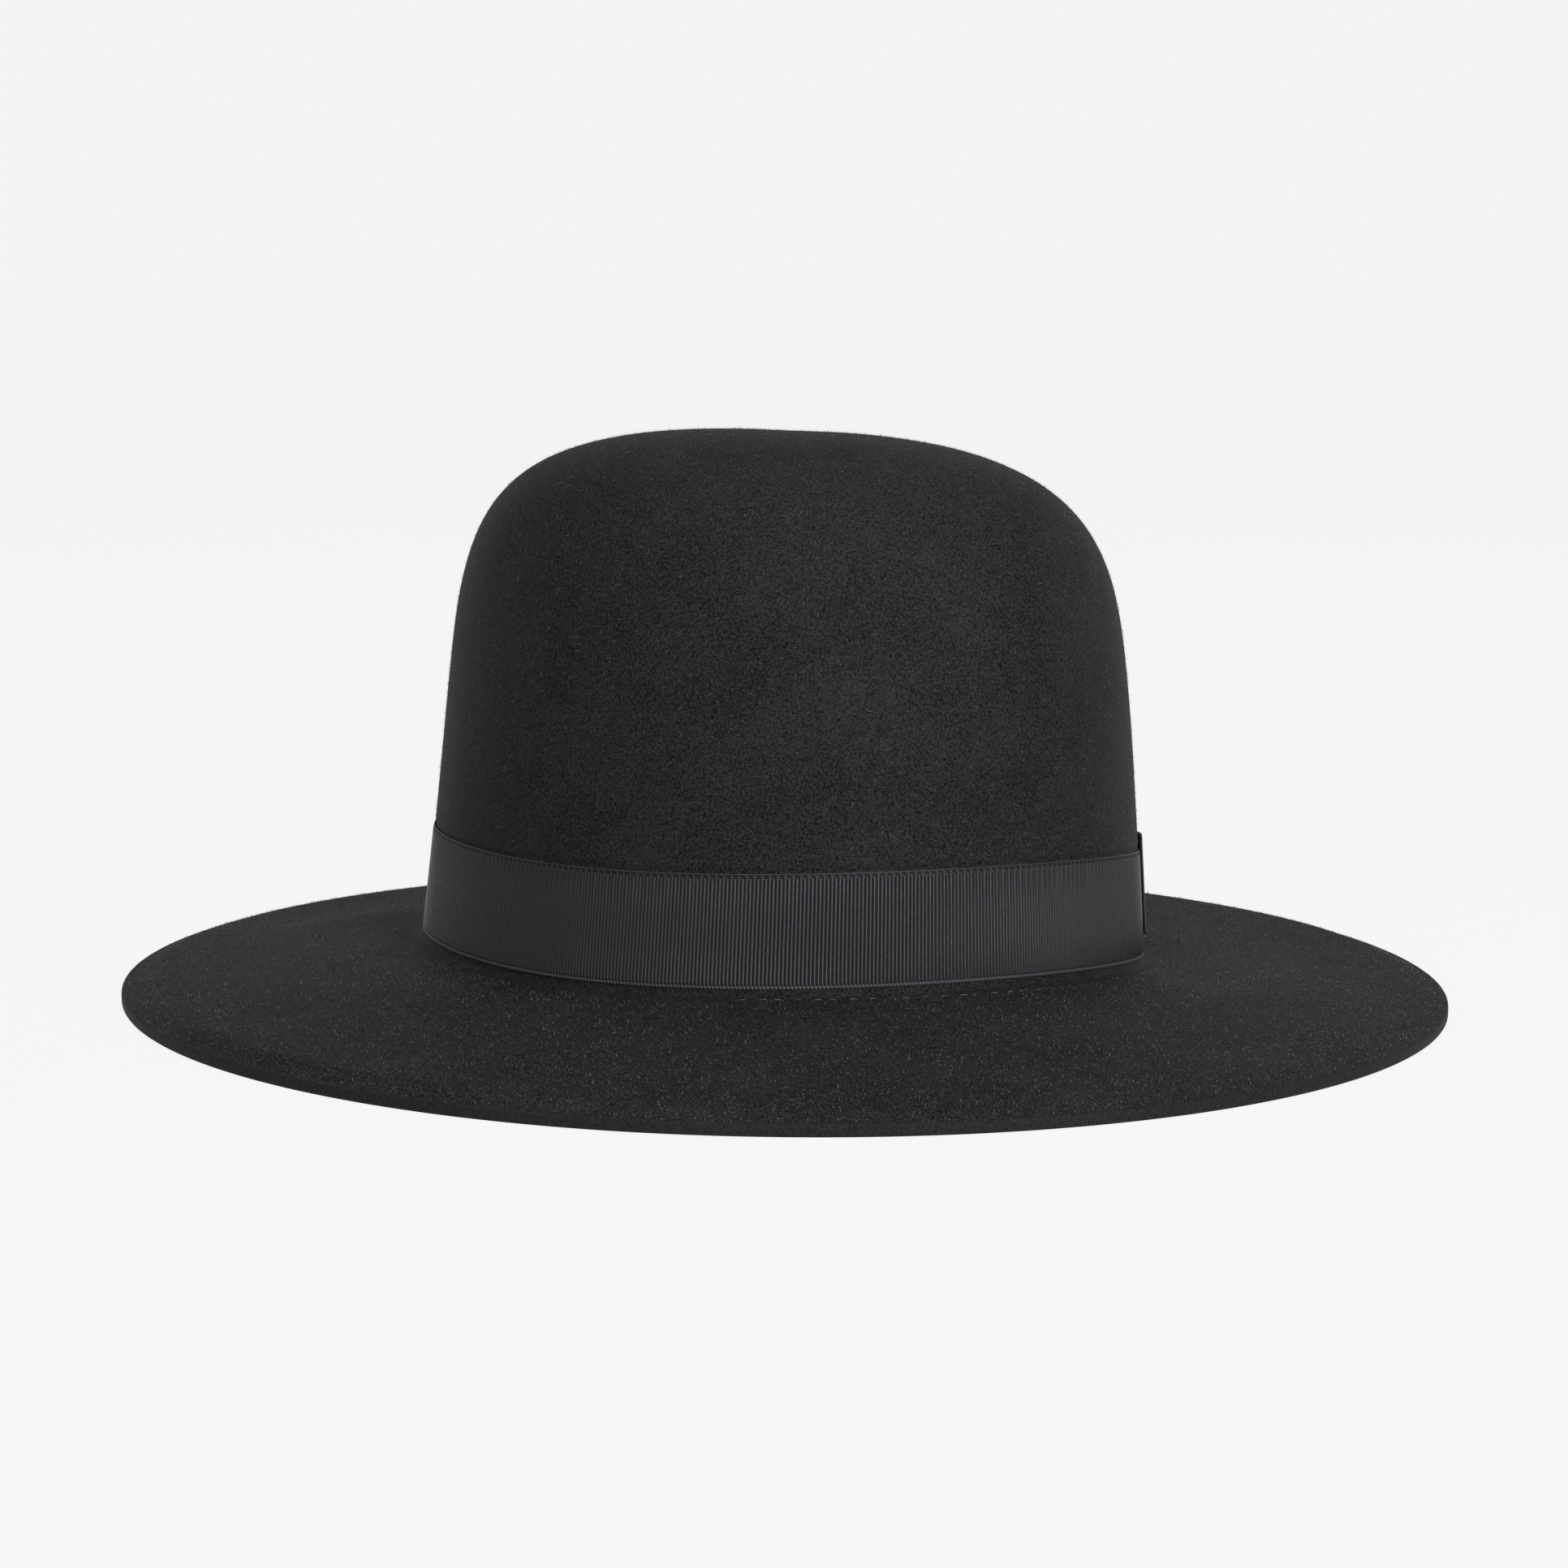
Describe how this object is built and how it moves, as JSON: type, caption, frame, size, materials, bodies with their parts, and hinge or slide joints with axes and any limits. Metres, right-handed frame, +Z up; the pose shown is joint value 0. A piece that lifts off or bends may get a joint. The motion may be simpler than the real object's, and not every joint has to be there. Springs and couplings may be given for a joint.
{
  "type": "felt hat",
  "caption": "Felt hat with a tall undented crown, a wide level brim, a ribbed ribbon band, a flat bow on the wearer's left and a sweatband inside.",
  "frame": {"origin": "centre of the brim's outline in plan, on the surface that the rim rests on", "axes": "+Y to the wearer's back, +X to the wearer's left, +Z up through the crown"},
  "size_m": [0.3254, 0.3466, 0.1394],
  "materials": {
    "felt": "matt black wool felt with a soft short nap",
    "ribbon": "black ribbed ribbon with a faint sheen",
    "sweatband": "plain black leather"
  },
  "bodies": {
    "root": {"felt_body": "felt", "ribbon_band": "ribbon", "bow_loops": "ribbon", "bow_knot": "ribbon", "sweatband": "sweatband"}
  },
  "joints": []
}
